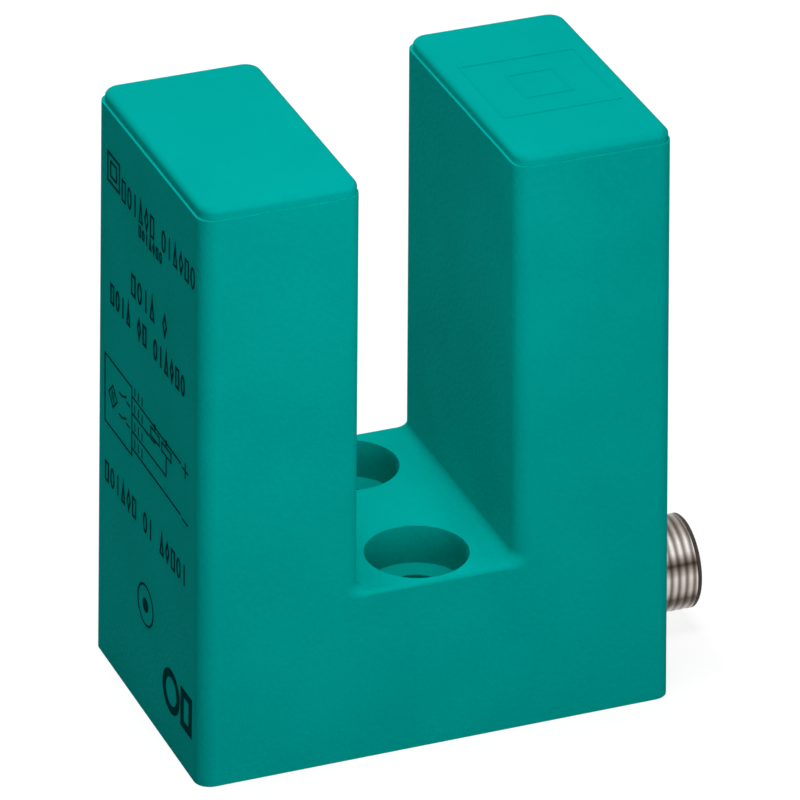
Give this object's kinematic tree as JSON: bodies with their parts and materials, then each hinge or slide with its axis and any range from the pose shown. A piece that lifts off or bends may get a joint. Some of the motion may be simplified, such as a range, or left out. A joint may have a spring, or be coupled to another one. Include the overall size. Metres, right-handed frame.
{
  "type": "fork sensor",
  "caption": "Fork-shaped inductive slot sensor: moulded housing, screw holes through the slot floor and a threaded plug connector on one side.",
  "frame": {"origin": "centre of the two mounting holes, on the face that is screwed down", "axes": "+Z out of the mounting face, up the prongs and along the mounting holes; +X across the slot towards the plug connector; +Y through the slot, from its front to its back"},
  "size_m": [0.0555, 0.0296, 0.06],
  "materials": {
    "teal_plastic": "satin, finely grained teal moulding",
    "cap_plastic": "satin teal moulding, smoother than the housing",
    "cover_plastic": "satin teal moulding",
    "nickel_plate": "bright nickel plate on brass",
    "seal_rubber": "matte",
    "black_plastic": "matte",
    "board_laminate": "green solder mask on glass-fibre laminate",
    "chip_case": "matte moulded",
    "capacitor_case": "matte moulded",
    "resistor_case": "matte ceramic",
    "gold_plate": "gold plate on brass",
    "ferrite": "matte sintered",
    "copper_wire": "enamelled copper wire",
    "cast_resin": "cast, slightly glossy"
  },
  "bodies": {
    "root": {"housing": "teal_plastic", "left_cap": "cap_plastic", "right_cap": "cap_plastic", "base_cover": "cover_plastic", "connector_shell": "nickel_plate", "connector_nut": "nickel_plate", "connector_seal": "seal_rubber", "connector_carrier": "black_plastic", "circuit_board": "board_laminate", "oscillator_chip": "chip_case", "supply_capacitor": "capacitor_case", "potting_compound": "cast_resin", "contact_pin_1": "gold_plate", "contact_pin_2": "gold_plate", "contact_pin_3": "gold_plate", "contact_pin_4": "gold_plate", "left_ferrite_core": "ferrite", "left_coil_winding": "copper_wire", "right_ferrite_core": "ferrite", "right_coil_winding": "copper_wire", "output_transistor_1": "chip_case", "output_transistor_2": "chip_case", "protection_diode_1": "chip_case", "protection_diode_2": "chip_case", "protection_diode_3": "chip_case", "chip_resistor_1": "resistor_case", "chip_resistor_2": "resistor_case", "chip_resistor_3": "resistor_case", "chip_resistor_4": "resistor_case", "chip_resistor_5": "resistor_case", "chip_resistor_6": "resistor_case"}
  },
  "joints": []
}
